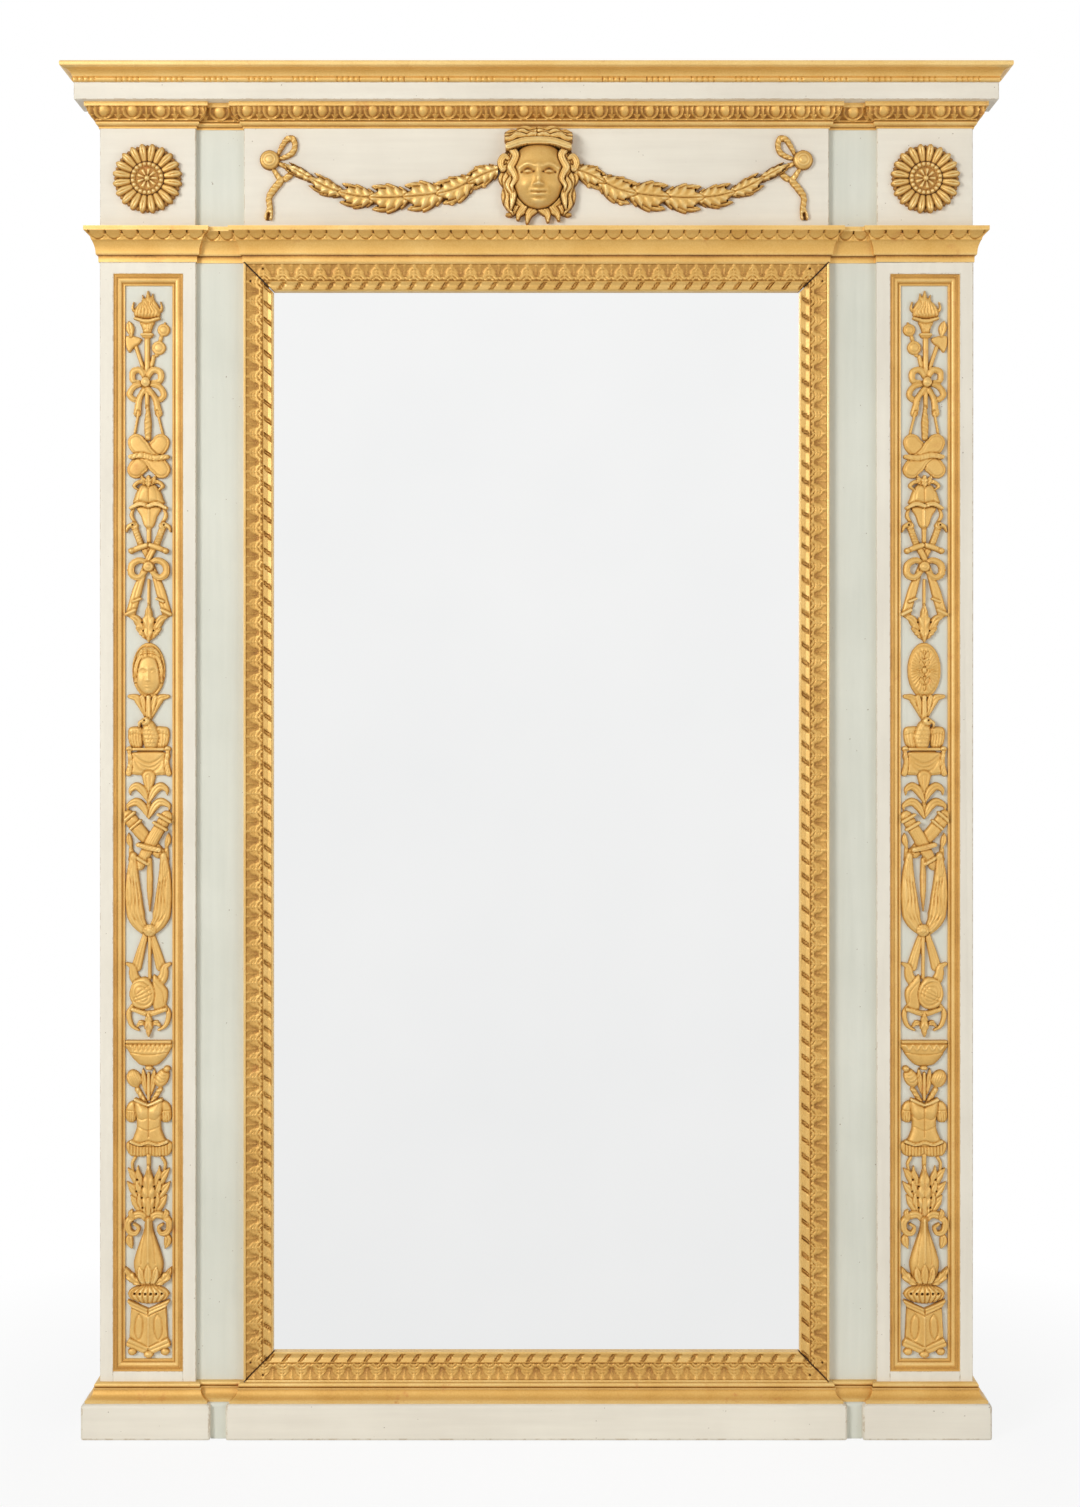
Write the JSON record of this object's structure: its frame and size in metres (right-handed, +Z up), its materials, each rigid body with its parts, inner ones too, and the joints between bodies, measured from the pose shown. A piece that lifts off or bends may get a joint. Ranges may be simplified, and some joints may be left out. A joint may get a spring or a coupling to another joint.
{
  "type": "overmantel mirror",
  "caption": "Tall painted and parcel-gilt overmantel mirror: carved pilaster trophies, festooned frieze with a mask, broken cornice and a mitred carved sight frame.",
  "frame": {"origin": "under the middle of the whole, at the plinth's underside", "axes": "+Z up, -Y toward the room, +Y toward the wall behind, +X to the right seen from the room"},
  "size_m": [1.318, 0.094, 1.914],
  "materials": {
    "cream_paint": "aged cream paint on pine",
    "blue_grey_paint": "aged blue-grey paint on pine",
    "gilding": "worn gold leaf over gesso on carved wood",
    "bare_pine": "bare aged softwood",
    "silvered_glass": "silvered plate glass",
    "hanger_steel": "dull steel strap and wire"
  },
  "bodies": {
    "mirror": {"architrave_centre": "gilding", "architrave_left": "gilding", "architrave_links": "gilding", "architrave_right": "gilding", "armour_trophy_left": "gilding", "armour_trophy_right": "gilding", "back_rails": "bare_pine", "back_stile_left": "bare_pine", "back_stile_right": "bare_pine", "backboards": "bare_pine", "base_board": "cream_paint", "base_moulding_centre": "gilding", "base_moulding_left": "gilding", "base_moulding_links": "gilding", "base_moulding_right": "gilding", "bed_moulding_centre": "gilding", "bed_moulding_left": "gilding", "bed_moulding_links": "gilding", "bed_moulding_right": "gilding", "cap_board": "cream_paint", "corona_board": "cream_paint", "crown_moulding": "gilding", "eagle_trophy_left": "gilding", "eagle_trophy_right": "gilding", "festoon_left": "gilding", "festoon_right": "gilding", "frieze_blocks": "cream_paint", "frieze_mask": "gilding", "frieze_panel": "cream_paint", "glazing_blocks": "bare_pine", "ground_board_left": "blue_grey_paint", "ground_board_right": "blue_grey_paint", "ground_rail_bottom": "bare_pine", "ground_rail_top": "bare_pine", "hanger_straps": "hanger_steel", "mirror_plate": "silvered_glass", "panel_moulding_left": "gilding", "panel_moulding_right": "gilding", "patera_left": "gilding", "patera_right": "gilding", "pilaster_border_left": "cream_paint", "pilaster_border_right": "cream_paint", "plinth_centre": "cream_paint", "plinth_left": "cream_paint", "plinth_links": "blue_grey_paint", "plinth_right": "cream_paint", "side_returns": "cream_paint", "sight_frame_bottom": "gilding", "sight_frame_left": "gilding", "sight_frame_right": "gilding", "sight_frame_top": "gilding", "torch_trophy_left": "gilding", "torch_trophy_right": "gilding"},
    "left_ring": {"hanging_ring_left": "hanger_steel"},
    "right_ring": {"hanging_ring_right": "hanger_steel"}
  },
  "joints": [
    {"name": "left_ring_swing", "type": "hinge", "parent": "mirror", "child": "left_ring", "pos_m": [-0.544, 0.0334, 1.5], "axis": [1, 0, 0], "range_deg": [0, 175]},
    {"name": "right_ring_swing", "type": "hinge", "parent": "mirror", "child": "right_ring", "pos_m": [0.544, 0.0334, 1.5], "axis": [1, 0, 0], "range_deg": [0, 175]}
  ]
}
